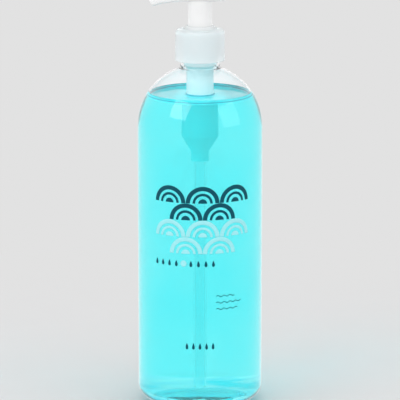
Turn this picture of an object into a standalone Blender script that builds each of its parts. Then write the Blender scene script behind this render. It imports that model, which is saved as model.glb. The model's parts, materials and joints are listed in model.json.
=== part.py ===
"""Clear round bottle of hand soap with a lotion pump screwed onto its neck.

The bottle stands on its base ring with its axis on Z, and the nozzle points along -X.
All sizes are in metres. Heights are worked upwards from the floor, piece by piece.
"""
import math

import bmesh
import bpy

# Clearances
SEAT_GAP = 0.0003
PISTON_GAP = 0.00015
FLOW_GAP = 0.0008

# Bottle: blown PET, one piece from base to neck
BODY_RADIUS = 0.0400
BODY_TOP_Z = 0.1814
BODY_WALL = 0.0008
BASE_WALL = 0.0016
SHOULDER_HEIGHT = 0.0395
SHOULDER_POWER = 1.956
HEEL_HEIGHT = 0.0100
HEEL_WIDTH = 0.0150
RING_WIDTH = 0.0025
PUSH_UP_HEIGHT = 0.0070
NECK_RADIUS = 0.01275
NECK_LENGTH = 0.0202
NECK_WALL = 0.0019
NECK_FILLET = 0.0014
FILLET_MIDDLE_OUT = 0.00035
FILLET_MIDDLE_UP = 0.00056
FILL_ABOVE_BODY = 0.0196

# Closure: screw cap around the neck
THREAD_ROOM = 0.00145
CLOSURE_WALL = 0.0018
CLOSURE_TAPER = 0.0002
CLOSURE_SKIRT = 0.01535
CLOSURE_PLATE = 0.0015
CLOSURE_CORNER_DROP = 0.00195
CLOSURE_CORNER_WIDTH = 0.0015
CLOSURE_RIM_HEIGHT = 0.0007
CLOSURE_FOOT_CHAMFER = 0.00027

# Sealing ring and the housing's flange, stacked on the neck
GASKET_THICKNESS = 0.0008
FLANGE_THICKNESS = 0.0010
FLANGE_SIDE_GAP = 0.00065

# Pump housing: wide barrel in the neck, narrower cylinder, cone, valve seat and tube socket
BARREL_WALL = 0.00075
CYLINDER_STEP = 0.00185
CYLINDER_WALL = 0.0010
CYLINDER_LENGTH = 0.0451
CYLINDER_FOOT_CHAMFER = 0.0004
CONE_HEIGHT = 0.0100
SOCKET_LENGTH = 0.0062
SOCKET_WALL = 0.0010
VENT_RADIUS = 0.0006
VENT_REACH = 0.0074
BALL_RADIUS = 0.0024
BALL_SEAT_RADIUS = 0.0019
BALL_SIDE_GAP = 0.0010
SEAT_THICKNESS = 0.0018

# Lock collar: snaps into the barrel and guides the stem and the head's skirt
COLLAR_WALL = 0.00155
COLLAR_DEPTH = 0.0240
COLLAR_FLANGE_WIDTH = 0.0010
COLLAR_FLANGE_HEIGHT = 0.0023
COLLAR_RIM_HEIGHT = 0.000805
COLLAR_LIP = 0.00093
COLLAR_PLATE = 0.0015
GUIDE_HEIGHT = 0.0120
GUIDE_SIDE_GAP = 0.00095

# Dip tube
TUBE_RADIUS = 0.0029
TUBE_WALL = 0.0007
TUBE_FOOT_GAP = 0.0020

# Stem, poppet, piston and return spring
STEM_RADIUS = 0.0040
STEM_WALL = 0.0014
STEM_STOP_WIDTH = 0.0016
STEM_STOP_HEIGHT = 0.0014
STOP_GAP = 0.0004
PISTON_LAG = 0.0015
PISTON_HEIGHT = 0.0090
PISTON_HUB_WALL = 0.0021
PISTON_LIP = 0.00055
PISTON_WEB = 0.0014
POPPET_FLANGE_THICKNESS = 0.0009
POPPET_FLANGE_GAP = 0.0013
POPPET_SEAT_HEIGHT = 0.0006
POPPET_SEAT_BEVEL = 0.00104
POPPET_SPIGOT_LENGTH = 0.0050
POPPET_ROD_LENGTH = 0.0240
POPPET_RIB = 0.0014
SPRING_WIRE_RADIUS = 0.00045
SPRING_SIDE_GAP = 0.00165
SPRING_END_PITCH = 0.00099
SPRING_TURNS = 8
SPRING_POINTS_PER_TURN = 10

# Pump head: nozzle to -X, finger wing to +X, skirt around the stem
PRESS_STROKE = 0.0140
SKIRT_SHOWN = 0.0155
SKIRT_OVERLAP = 0.0030
SKIRT_WALL = 0.0010
HEAD_OVERHANG = 0.00175
HEAD_HEIGHT = 0.0096
NOZZLE_REACH = 0.0327
NOZZLE_TIP_HALF_WIDTH = 0.0035
NOZZLE_TIP_TOP = 0.0022
NOZZLE_DROP = 0.0040
NOZZLE_DROP_POWER = 2.6
NOZZLE_TOP_POWER = 1.5
NOZZLE_SWELL_SHARE = 0.62
NOZZLE_FACE_LEAN = math.radians(25.0)
NOZZLE_SPARE = 0.004905
TIP_SECTION_GAP = 0.00058
NOZZLE_BORE_RADIUS = 0.0016
WING_REACH = 0.0178
WING_RISE = 0.0016
WING_RISE_POWER = 1.5
WING_OUTLINE_POWERS = (2.6, 0.45)
WING_END_POWER = 14.0
WING_END_ANGLE = math.radians(82.0)
WING_END_WALL = 0.0033
WING_POCKET_WALL = 0.0022
WING_POCKET_WIDTH = 0.0080
HEAD_CORNER_POWER = 3.0
SOCKET_HEAD_WALL = 0.0010
SOCKET_RISE = 0.0010
CHANNEL_RISE = 0.0036
CHANNEL_START = 0.00064
CHANNEL_SPARE = 0.00327
RISER_ROOM = 0.00056

# Facets of the round pieces
BOTTLE_FACETS = 48
PUMP_FACETS = 36
SMALL_FACETS = 24
BORE_FACETS = 16
VENT_FACETS = 8
BALL_RINGS = 10
BASE_STEPS = 5
HEEL_STEPS = 6
SHOULDER_STEPS = 11
SOAP_SHOULDER_STEPS = 5
CORNER_STEPS = 4
HEAD_SECTION_POINTS = 24
NOZZLE_SECTIONS = 10
WING_SECTIONS = 8
MERGE_DISTANCE = 0.00001

# Radii that follow from the neck's, outside first
closure_bore = NECK_RADIUS + THREAD_ROOM
closure_foot_radius = closure_bore + CLOSURE_WALL
closure_top_radius = closure_foot_radius - CLOSURE_TAPER
flange_radius = closure_bore - FLANGE_SIDE_GAP
neck_bore = NECK_RADIUS - NECK_WALL
barrel_radius = neck_bore - SEAT_GAP
barrel_bore = barrel_radius - BARREL_WALL
collar_radius = barrel_bore - SEAT_GAP
collar_bore = collar_radius - COLLAR_WALL
skirt_radius = collar_bore - SEAT_GAP
skirt_bore = skirt_radius - SKIRT_WALL
cylinder_radius = barrel_radius - CYLINDER_STEP
cylinder_bore = cylinder_radius - CYLINDER_WALL
guide_radius = skirt_bore - GUIDE_SIDE_GAP
guide_bore = STEM_RADIUS + SEAT_GAP
stem_bore = STEM_RADIUS - STEM_WALL
rod_half_width = stem_bore - SEAT_GAP
spring_radius = cylinder_bore - SPRING_SIDE_GAP - SPRING_WIRE_RADIUS
socket_bore = TUBE_RADIUS + SEAT_GAP
socket_radius = socket_bore + SOCKET_WALL
ball_cage_radius = BALL_RADIUS + BALL_SIDE_GAP
head_half_width = skirt_radius + HEAD_OVERHANG


def shoulder_rise(radius, body_radius, height):
    """Height of the domed shoulder above the straight body, at a radius from the axis."""
    share = radius / body_radius
    return height * (1.0 - share ** SHOULDER_POWER) ** (1.0 / SHOULDER_POWER)


# Heights, from the floor up to the top of the closure
fill_z = BODY_TOP_Z + FILL_ABOVE_BODY
neck_root_z = BODY_TOP_Z + shoulder_rise(NECK_RADIUS, BODY_RADIUS, SHOULDER_HEIGHT)
land_z = neck_root_z + NECK_LENGTH
gasket_z = land_z + SEAT_GAP
flange_z = gasket_z + GASKET_THICKNESS + SEAT_GAP
closure_plate_z = flange_z + FLANGE_THICKNESS + SEAT_GAP
closure_top_z = closure_plate_z + CLOSURE_PLATE
closure_foot_z = land_z - CLOSURE_SKIRT
collar_flange_z = closure_top_z + SEAT_GAP
collar_top_z = collar_flange_z + COLLAR_FLANGE_HEIGHT

# Heights, from the collar down to the dip tube's foot
collar_foot_z = collar_top_z - COLLAR_DEPTH
ledge_z = collar_foot_z - SEAT_GAP
stem_stop_z = collar_foot_z - STOP_GAP
stem_foot_z = stem_stop_z - STEM_STOP_HEIGHT
piston_top_z = stem_foot_z - PISTON_LAG - SEAT_GAP
piston_foot_z = piston_top_z - PISTON_HEIGHT
poppet_top_z = piston_foot_z - SEAT_GAP
poppet_flange_z = poppet_top_z - POPPET_SEAT_HEIGHT - POPPET_FLANGE_THICKNESS
spring_floor_z = ledge_z - CYLINDER_LENGTH
cone_foot_z = spring_floor_z - CONE_HEIGHT
socket_foot_z = cone_foot_z - SOCKET_LENGTH
tube_top_z = cone_foot_z
seat_z = tube_top_z + SEAT_GAP + SEAT_THICKNESS
seat_top_z = seat_z + ball_cage_radius - BALL_SEAT_RADIUS
ball_z = seat_z - BALL_SEAT_RADIUS + (BALL_RADIUS + SEAT_GAP) * math.sqrt(2.0)
base_inside_z = PUSH_UP_HEIGHT + BASE_WALL
tube_foot_z = base_inside_z + TUBE_FOOT_GAP

# Heights of the head
head_z = collar_top_z + SKIRT_SHOWN
skirt_foot_z = collar_top_z - SKIRT_OVERLAP
guide_top_z = collar_foot_z + GUIDE_HEIGHT
head_socket_foot_z = guide_top_z + PRESS_STROKE + STEM_STOP_HEIGHT
head_socket_top_z = head_z + SOCKET_RISE
stem_top_z = head_socket_top_z - SEAT_GAP
channel_z = head_z + CHANNEL_RISE


def clear_scene():
    """Empties the file of objects and their leftover data."""
    for obj in list(bpy.data.objects):
        bpy.data.objects.remove(obj, do_unlink=True)
    for group in list(bpy.data.collections):
        bpy.data.collections.remove(group)


def new_collection(name):
    group = bpy.data.collections.new(name)
    bpy.context.scene.collection.children.link(group)
    return group


def plastic(name, colour, roughness=0.35, alpha=1.0, metallic=0.0, transmission=0.0):
    """A plain finish for one piece."""
    material = bpy.data.materials.new(name)
    material.use_nodes = True
    shader = material.node_tree.nodes["Principled BSDF"]
    shader.inputs["Base Color"].default_value = (*colour, 1.0)
    shader.inputs["Roughness"].default_value = roughness
    shader.inputs["Metallic"].default_value = metallic
    shader.inputs["Alpha"].default_value = alpha
    shader.inputs["Transmission Weight"].default_value = transmission
    material.diffuse_color = (*colour, alpha)
    return material


def arc(centre, radius_across, radius_up, start, end, count):
    """Points on an ellipse in the (radius, height) plane, angles in degrees."""
    points = []
    for step in range(count + 1):
        angle = math.radians(start + (end - start) * step / count)
        across = centre[0] + radius_across * math.cos(angle)
        up = centre[1] + radius_up * math.sin(angle)
        points.append((across, up))
    return points


def shoulder(body_radius, height, top_radius, count):
    """Points of the domed shoulder, from a radius near the neck down to the straight body."""
    top_share = (top_radius / body_radius) ** (SHOULDER_POWER / 2.0)
    start = math.acos(top_share)
    points = []
    for step in range(count + 1):
        angle = start * (1.0 - step / count)
        across = body_radius * math.cos(angle) ** (2.0 / SHOULDER_POWER)
        up = BODY_TOP_Z + height * math.sin(angle) ** (2.0 / SHOULDER_POWER)
        points.append((across, up))
    return points


def turned(name, profile, origin_z, facets, closed):
    """A half outline (radius, height) turned about the axis, its outer side listed downwards."""
    mesh = bpy.data.meshes.new(name)
    edges = [(i, i + 1) for i in range(len(profile) - 1)]
    if closed:
        edges.append((len(profile) - 1, 0))
    mesh.from_pydata([(r, 0.0, z - origin_z) for r, z in profile], edges, [])
    obj = bpy.data.objects.new(name, mesh)
    obj.location = (0.0, 0.0, origin_z)
    turn = obj.modifiers.new("turn", "SCREW")
    turn.axis = "Z"
    turn.steps = facets
    turn.render_steps = facets
    turn.use_merge_vertices = True
    turn.merge_threshold = MERGE_DISTANCE
    turn.use_smooth_shade = True
    return obj


def finish(obj, material, group):
    """Gives a piece its material and puts it in the product's collection."""
    obj.data.materials.clear()
    obj.data.materials.append(material)
    group.objects.link(obj)
    return obj


def add_cutter(target, cutter, operation, group):
    """Cuts or joins a hidden helper shape into a piece."""
    group.objects.link(cutter)
    cutter.hide_render = True
    cutter.display_type = "WIRE"
    cut = target.modifiers.new(cutter.name, "BOOLEAN")
    cut.operation = operation
    cut.solver = "EXACT"
    cut.object = cutter


def bottle_profile():
    """Inner side from the base's centre up to the mouth, then the outer side down again."""
    heel_radius = BODY_RADIUS - HEEL_WIDTH
    ring_radius = heel_radius - RING_WIDTH
    inner_radius = BODY_RADIUS - BODY_WALL
    inner_shoulder = SHOULDER_HEIGHT - BODY_WALL
    floor = arc((0.0, BASE_WALL), ring_radius, PUSH_UP_HEIGHT, 90.0, 0.0, BASE_STEPS)
    inner_heel = arc((heel_radius, HEEL_HEIGHT), inner_radius - heel_radius,
                     HEEL_HEIGHT - BASE_WALL, -90.0, 0.0, HEEL_STEPS)
    inner_dome = shoulder(inner_radius, inner_shoulder, neck_bore, SHOULDER_STEPS - 1)[::-1]
    mouth = [(neck_bore, land_z), (NECK_RADIUS, land_z)]
    fillet = [(NECK_RADIUS, neck_root_z + NECK_FILLET),
              (NECK_RADIUS + FILLET_MIDDLE_OUT, neck_root_z + FILLET_MIDDLE_UP)]
    outer_dome = shoulder(BODY_RADIUS, SHOULDER_HEIGHT, NECK_RADIUS + NECK_FILLET, SHOULDER_STEPS)
    outer_heel = arc((heel_radius, HEEL_HEIGHT), HEEL_WIDTH, HEEL_HEIGHT, 0.0, -90.0, HEEL_STEPS)
    push_up = arc((0.0, 0.0), ring_radius, PUSH_UP_HEIGHT, 0.0, 90.0, BASE_STEPS)
    return floor + inner_heel + inner_dome + mouth + fillet + outer_dome + outer_heel + push_up


def make_bottle():
    return turned("bottle", bottle_profile(), 0.0, BOTTLE_FACETS, closed=False)


def make_soap():
    """The soap fills the bottle to its level and leaves a well for the pump and its tube."""
    heel_radius = BODY_RADIUS - HEEL_WIDTH
    ring_radius = heel_radius - RING_WIDTH
    soap_radius = BODY_RADIUS - BODY_WALL - SEAT_GAP
    soap_shoulder = SHOULDER_HEIGHT - BODY_WALL - SEAT_GAP
    lift = BASE_WALL + SEAT_GAP
    tube_well = TUBE_RADIUS + SEAT_GAP
    socket_well = socket_radius + SEAT_GAP
    cylinder_well = cylinder_radius + SEAT_GAP
    well = [(0.0, tube_foot_z - SEAT_GAP),
            (tube_well, tube_foot_z - SEAT_GAP),
            (tube_well, socket_foot_z - SEAT_GAP),
            (socket_well, socket_foot_z - SEAT_GAP),
            (socket_well, cone_foot_z - SEAT_GAP),
            (cylinder_well, spring_floor_z - SEAT_GAP),
            (cylinder_well, fill_z)]
    share = (fill_z - BODY_TOP_Z) / soap_shoulder
    surface_radius = soap_radius * (1.0 - share ** SHOULDER_POWER) ** (1.0 / SHOULDER_POWER)
    outside = shoulder(soap_radius, soap_shoulder, surface_radius, SOAP_SHOULDER_STEPS)
    heel = arc((heel_radius, HEEL_HEIGHT), soap_radius - heel_radius, HEEL_HEIGHT - lift,
               0.0, -90.0, HEEL_STEPS)
    floor = arc((0.0, lift), ring_radius, PUSH_UP_HEIGHT, 0.0, 90.0, BASE_STEPS)
    return turned("soap_liquid", well + outside + heel + floor, 0.0, BOTTLE_FACETS, closed=False)


def make_closure():
    """Screw cap: a skirt around the neck and a plate that holds the housing's flange down."""
    hole_radius = collar_radius + SEAT_GAP
    recess_radius = collar_radius + COLLAR_FLANGE_WIDTH + SEAT_GAP
    rim_z = closure_top_z + CLOSURE_RIM_HEIGHT
    edge_z = rim_z - CLOSURE_RIM_HEIGHT
    corner_radius = closure_top_radius - CLOSURE_CORNER_WIDTH
    corner = arc((corner_radius, edge_z - CLOSURE_CORNER_DROP), CLOSURE_CORNER_WIDTH,
                 CLOSURE_CORNER_DROP, 90.0, 0.0, CORNER_STEPS)
    inside = [(closure_bore, closure_foot_z), (closure_bore, closure_plate_z),
              (hole_radius, closure_plate_z), (hole_radius, closure_top_z),
              (recess_radius, closure_top_z), (recess_radius, rim_z)]
    outside = [(closure_foot_radius, closure_foot_z + CLOSURE_FOOT_CHAMFER),
               (closure_foot_radius - CLOSURE_FOOT_CHAMFER, closure_foot_z)]
    return turned("closure", inside + corner + outside, closure_foot_z, PUMP_FACETS, closed=True)


def make_gasket():
    inner = barrel_radius + SEAT_GAP
    top = gasket_z + GASKET_THICKNESS
    ring = [(inner, gasket_z), (inner, top), (NECK_RADIUS, top), (NECK_RADIUS, gasket_z)]
    return turned("gasket", ring, gasket_z, PUMP_FACETS, closed=True)


def make_housing(cutters):
    """One moulding: flange, barrel, cylinder, cone with the valve seat, and the tube's socket."""
    flange_top = flange_z + FLANGE_THICKNESS
    cage_top = spring_floor_z - BALL_SIDE_GAP
    spring_ledge = spring_radius - SPRING_WIRE_RADIUS
    inside = [(socket_bore, socket_foot_z),
              (socket_bore, tube_top_z + SEAT_GAP),
              (BALL_SEAT_RADIUS, tube_top_z + SEAT_GAP),
              (BALL_SEAT_RADIUS, seat_z),
              (ball_cage_radius, seat_top_z),
              (ball_cage_radius, cage_top),
              (spring_ledge, spring_floor_z),
              (cylinder_bore, spring_floor_z),
              (cylinder_bore, ledge_z),
              (barrel_bore, ledge_z),
              (barrel_bore, flange_top)]
    outside = [(flange_radius, flange_top),
               (flange_radius, flange_z),
               (barrel_radius, flange_z),
               (barrel_radius, ledge_z - BARREL_WALL),
               (cylinder_radius, ledge_z - BARREL_WALL - CYLINDER_STEP),
               (cylinder_radius, spring_floor_z),
               (cylinder_radius - CYLINDER_FOOT_CHAMFER, spring_floor_z - CYLINDER_WALL),
               (socket_radius, cone_foot_z),
               (socket_radius, socket_foot_z)]
    housing = turned("pump_housing", inside + outside, socket_foot_z, PUMP_FACETS, closed=True)
    bpy.ops.mesh.primitive_cylinder_add(vertices=VENT_FACETS, radius=VENT_RADIUS, depth=VENT_REACH)
    vent = bpy.context.object
    vent.name = "vent_cutter"
    vent.rotation_euler = (0.0, math.radians(90.0), 0.0)
    vent.location = (barrel_radius, 0.0, 0.5 * (ledge_z + land_z))
    unlink_everywhere(vent)
    add_cutter(housing, vent, "DIFFERENCE", cutters)
    return housing


def unlink_everywhere(obj):
    for group in list(obj.users_collection):
        group.objects.unlink(obj)


def make_lock_collar():
    """Tube that lines the barrel, with a flange over the closure and a plate with the stem's guide."""
    rim_radius = collar_radius + COLLAR_FLANGE_WIDTH
    plate_top = collar_foot_z + COLLAR_PLATE
    inside = [(guide_bore, collar_foot_z), (guide_bore, guide_top_z),
              (guide_radius, guide_top_z), (guide_radius, plate_top),
              (collar_bore, plate_top), (collar_bore, collar_top_z)]
    outside = [(collar_bore + COLLAR_LIP, collar_top_z),
               (rim_radius, collar_flange_z + COLLAR_RIM_HEIGHT),
               (rim_radius, collar_flange_z),
               (collar_radius, collar_flange_z),
               (collar_radius, collar_foot_z)]
    return turned("lock_collar", inside + outside, collar_foot_z, PUMP_FACETS, closed=True)


def make_dip_tube():
    inner = TUBE_RADIUS - TUBE_WALL
    ring = [(inner, tube_foot_z), (inner, tube_top_z), (TUBE_RADIUS, tube_top_z), (TUBE_RADIUS, tube_foot_z)]
    return turned("dip_tube", ring, tube_foot_z, SMALL_FACETS, closed=True)


def make_ball():
    bpy.ops.mesh.primitive_uv_sphere_add(segments=BORE_FACETS, ring_count=BALL_RINGS, radius=BALL_RADIUS)
    ball = bpy.context.object
    ball.name = "valve_ball"
    ball.location = (0.0, 0.0, ball_z)
    unlink_everywhere(ball)
    return ball


def make_spring():
    """Helix with its two end turns closed flat on their seats."""
    first_z = spring_floor_z + SEAT_GAP + SPRING_WIRE_RADIUS
    last_z = poppet_flange_z - SEAT_GAP - SPRING_WIRE_RADIUS
    open_turns = SPRING_TURNS - 2
    open_pitch = (last_z - first_z - 2.0 * SPRING_END_PITCH) / open_turns
    points = []
    for step in range(SPRING_TURNS * SPRING_POINTS_PER_TURN + 1):
        turn = step / SPRING_POINTS_PER_TURN
        if turn < 1.0:
            height = first_z + SPRING_END_PITCH * turn
        elif turn > SPRING_TURNS - 1.0:
            height = last_z - SPRING_END_PITCH * (SPRING_TURNS - turn)
        else:
            height = first_z + SPRING_END_PITCH + open_pitch * (turn - 1.0)
        angle = 2.0 * math.pi * turn
        across = spring_radius * math.cos(angle)
        along = spring_radius * math.sin(angle)
        points.append((across, along, height - first_z))
    curve = bpy.data.curves.new("spring", "CURVE")
    curve.dimensions = "3D"
    curve.bevel_depth = SPRING_WIRE_RADIUS
    curve.bevel_resolution = 1
    curve.use_fill_caps = True
    spline = curve.splines.new("POLY")
    spline.points.add(len(points) - 1)
    for point, place in zip(spline.points, points):
        point.co = (*place, 1.0)
    spring = bpy.data.objects.new("spring", curve)
    spring.location = (0.0, 0.0, first_z)
    return spring


def make_stem():
    stop_radius = STEM_RADIUS + STEM_STOP_WIDTH
    profile = [(stem_bore, stem_foot_z), (stem_bore, stem_top_z), (STEM_RADIUS, stem_top_z),
               (STEM_RADIUS, stem_stop_z), (stop_radius, stem_stop_z), (stop_radius, stem_foot_z)]
    return turned("stem", profile, stem_foot_z, PUMP_FACETS, closed=True)


def make_piston():
    """Soft ring with a lip up and a lip down against the cylinder, on a hub around the poppet."""
    hub_bore = rod_half_width + FLOW_GAP
    hub_radius = hub_bore + PISTON_HUB_WALL
    lip_radius = cylinder_bore - PISTON_GAP
    lip_bore = lip_radius - PISTON_LIP
    web_foot = piston_foot_z + 0.5 * (PISTON_HEIGHT - PISTON_WEB)
    web_top = web_foot + PISTON_WEB
    lip_top = piston_top_z - PISTON_LIP
    lip_foot = piston_foot_z + PISTON_LIP
    profile = [(hub_bore, piston_foot_z), (hub_bore, piston_top_z), (hub_radius, piston_top_z),
               (hub_radius, web_top), (lip_bore, web_top), (lip_bore, lip_top), (lip_radius, lip_top),
               (lip_radius - 0.5 * PISTON_LIP, web_top), (lip_radius - 0.5 * PISTON_LIP, web_foot),
               (lip_radius, lip_foot), (lip_bore, lip_foot), (lip_bore, web_foot),
               (hub_radius, web_foot), (hub_radius, piston_foot_z)]
    return turned("piston", profile, piston_foot_z, PUMP_FACETS, closed=True)


def make_poppet(cutters):
    """Plug pressed into the stem: spigot in the spring, flange, seat, and a rod of crossed ribs."""
    spigot_radius = spring_radius - SPRING_WIRE_RADIUS - BALL_SIDE_GAP
    disc_radius = cylinder_bore - POPPET_FLANGE_GAP
    seat_radius = rod_half_width + FLOW_GAP + PISTON_HUB_WALL
    flange_top = poppet_flange_z + POPPET_FLANGE_THICKNESS
    profile = [(0.0, poppet_top_z), (seat_radius - POPPET_SEAT_BEVEL, poppet_top_z),
               (seat_radius, flange_top), (disc_radius, flange_top), (disc_radius, poppet_flange_z),
               (spigot_radius, poppet_flange_z), (spigot_radius, poppet_flange_z - POPPET_SPIGOT_LENGTH),
               (0.0, poppet_flange_z - POPPET_SPIGOT_LENGTH)]
    poppet = turned("poppet", profile, poppet_flange_z, PUMP_FACETS, closed=False)
    rod_foot = poppet_flange_z
    rod_top = poppet_top_z + POPPET_ROD_LENGTH
    for index, turn in enumerate((0.0, 90.0)):
        bpy.ops.mesh.primitive_cube_add(size=1.0)
        rib = bpy.context.object
        rib.name = f"poppet_rib_{index + 1}"
        rib.scale = (2.0 * rod_half_width, POPPET_RIB, rod_top - rod_foot)
        rib.rotation_euler = (0.0, 0.0, math.radians(turn))
        rib.location = (0.0, 0.0, 0.5 * (rod_top + rod_foot))
        unlink_everywhere(rib)
        add_cutter(poppet, rib, "UNION", cutters)
    return poppet


def nozzle_section(share):
    """Half width, underside and top of the nozzle, from the hub (0) to past its tip (1)."""
    swell = 0.5 * (1.0 + math.cos(math.pi * min(1.0, share / NOZZLE_SWELL_SHARE)))
    half_width = NOZZLE_TIP_HALF_WIDTH + (head_half_width - NOZZLE_TIP_HALF_WIDTH) * swell
    underside = -NOZZLE_DROP * share ** NOZZLE_DROP_POWER
    top = HEAD_HEIGHT - (HEAD_HEIGHT - NOZZLE_TIP_TOP) * share ** NOZZLE_TOP_POWER
    return half_width, underside, top


def wing_section(share):
    """Half width, underside and top of the finger wing, from the hub (0) to its rounded end (1)."""
    taper_power, corner_power = WING_OUTLINE_POWERS
    half_width = head_half_width * (1.0 - share ** taper_power) ** corner_power
    end_round = 1.0 - (1.0 - share ** WING_END_POWER) ** 0.5
    top = HEAD_HEIGHT + WING_RISE * share ** WING_RISE_POWER
    half_height = 0.5 * top * (1.0 - 0.5 * end_round)
    return half_width, 0.5 * top - half_height, 0.5 * top + half_height


def make_head_shell():
    """Loft of rounded sections along X from the nozzle's tip to the end of the wing."""
    tip_height = NOZZLE_DROP + NOZZLE_TIP_TOP
    face_set_back = tip_height * math.tan(NOZZLE_FACE_LEAN)
    beyond_tip = 1.0 + NOZZLE_SPARE / NOZZLE_REACH
    before_tip = 1.0 - (face_set_back + TIP_SECTION_GAP) / NOZZLE_REACH
    sections = [(-beyond_tip * NOZZLE_REACH, *nozzle_section(beyond_tip))]
    for step in range(NOZZLE_SECTIONS):
        share = before_tip * (1.0 - step / NOZZLE_SECTIONS)
        sections.append((-share * NOZZLE_REACH, *nozzle_section(share)))
    for step in range(WING_SECTIONS + 1):
        share = math.sin(WING_END_ANGLE * step / WING_SECTIONS)
        sections.append((share * WING_REACH, *wing_section(share)))
    shell = bmesh.new()
    rings = []
    for x, half_width, underside, top in sections:
        middle = head_z + 0.5 * (top + underside)
        half_height = 0.5 * (top - underside)
        ring = []
        for point in range(HEAD_SECTION_POINTS):
            angle = 2.0 * math.pi * point / HEAD_SECTION_POINTS
            across = math.copysign(abs(math.cos(angle)) ** (2.0 / HEAD_CORNER_POWER), math.cos(angle))
            up = math.copysign(abs(math.sin(angle)) ** (2.0 / HEAD_CORNER_POWER), math.sin(angle))
            ring.append(shell.verts.new((x, half_width * across, middle + half_height * up - skirt_foot_z)))
        rings.append(ring)
    for left, right in zip(rings, rings[1:]):
        for point in range(HEAD_SECTION_POINTS):
            following = (point + 1) % HEAD_SECTION_POINTS
            shell.faces.new((left[point], right[point], right[following], left[following]))
    shell.faces.new(rings[0])
    shell.faces.new(rings[-1][::-1])
    tip_lip = (-NOZZLE_REACH, 0.0, head_z + NOZZLE_TIP_TOP - skirt_foot_z)
    outward = (-math.cos(NOZZLE_FACE_LEAN), 0.0, -math.sin(NOZZLE_FACE_LEAN))
    everything = shell.verts[:] + shell.edges[:] + shell.faces[:]
    cut = bmesh.ops.bisect_plane(shell, geom=everything, plane_co=tip_lip, plane_no=outward, clear_outer=True)
    rim = [item for item in cut["geom_cut"] if isinstance(item, bmesh.types.BMEdge)]
    bmesh.ops.holes_fill(shell, edges=rim, sides=0)
    bmesh.ops.recalc_face_normals(shell, faces=shell.faces[:])
    mesh = bpy.data.meshes.new("pump_head")
    shell.to_mesh(mesh)
    shell.free()
    head = bpy.data.objects.new("pump_head", mesh)
    head.location = (0.0, 0.0, skirt_foot_z)
    return head


def make_head(cutters):
    """One moulding: nozzle, wing, skirt around the stem, and the stem's socket inside it."""
    head = make_head_shell()
    pocket_start = skirt_radius + WING_POCKET_WALL
    pocket_end = WING_REACH - WING_END_WALL
    pocket_top = HEAD_HEIGHT - WING_POCKET_WALL
    bpy.ops.mesh.primitive_cube_add(size=1.0)
    pocket = bpy.context.object
    pocket.name = "wing_pocket"
    pocket.scale = (pocket_end - pocket_start, WING_POCKET_WIDTH, 2.0 * pocket_top)
    pocket.location = (0.5 * (pocket_start + pocket_end), 0.0, head_z)
    unlink_everywhere(pocket)
    add_cutter(head, pocket, "DIFFERENCE", cutters)
    root_z = head_z + SOCKET_RISE
    skirt = turned("head_skirt", [(0.0, root_z), (skirt_radius, root_z), (skirt_radius, skirt_foot_z),
                                  (0.0, skirt_foot_z)], skirt_foot_z, PUMP_FACETS, closed=False)
    add_cutter(head, skirt, "UNION", cutters)
    below = skirt_foot_z - SKIRT_WALL
    socket = STEM_RADIUS + SEAT_GAP
    boss = socket + SOCKET_HEAD_WALL
    riser = NOZZLE_BORE_RADIUS + SOCKET_HEAD_WALL
    riser_top = channel_z + RISER_ROOM
    hollow_profile = [(0.0, riser_top), (riser, riser_top), (riser, head_socket_top_z),
                      (socket, head_socket_top_z), (socket, head_socket_foot_z),
                      (boss, head_socket_foot_z), (boss, head_z), (skirt_bore, head_z),
                      (skirt_bore, below), (0.0, below)]
    hollow = turned("head_hollow", hollow_profile, below, PUMP_FACETS, closed=False)
    add_cutter(head, hollow, "DIFFERENCE", cutters)
    tip_z = head_z - 0.5 * (NOZZLE_DROP - NOZZLE_TIP_TOP)
    run = NOZZLE_REACH + CHANNEL_SPARE + CHANNEL_START
    slope = math.atan2(channel_z - tip_z, run)
    bpy.ops.mesh.primitive_cylinder_add(vertices=BORE_FACETS, radius=NOZZLE_BORE_RADIUS,
                                        depth=run / math.cos(slope))
    channel = bpy.context.object
    channel.name = "nozzle_channel"
    channel.rotation_euler = (0.0, math.radians(90.0) - slope, 0.0)
    channel.location = (CHANNEL_START - 0.5 * run, 0.0, 0.5 * (channel_z + tip_z))
    unlink_everywhere(channel)
    add_cutter(head, channel, "DIFFERENCE", cutters)
    return head


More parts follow.
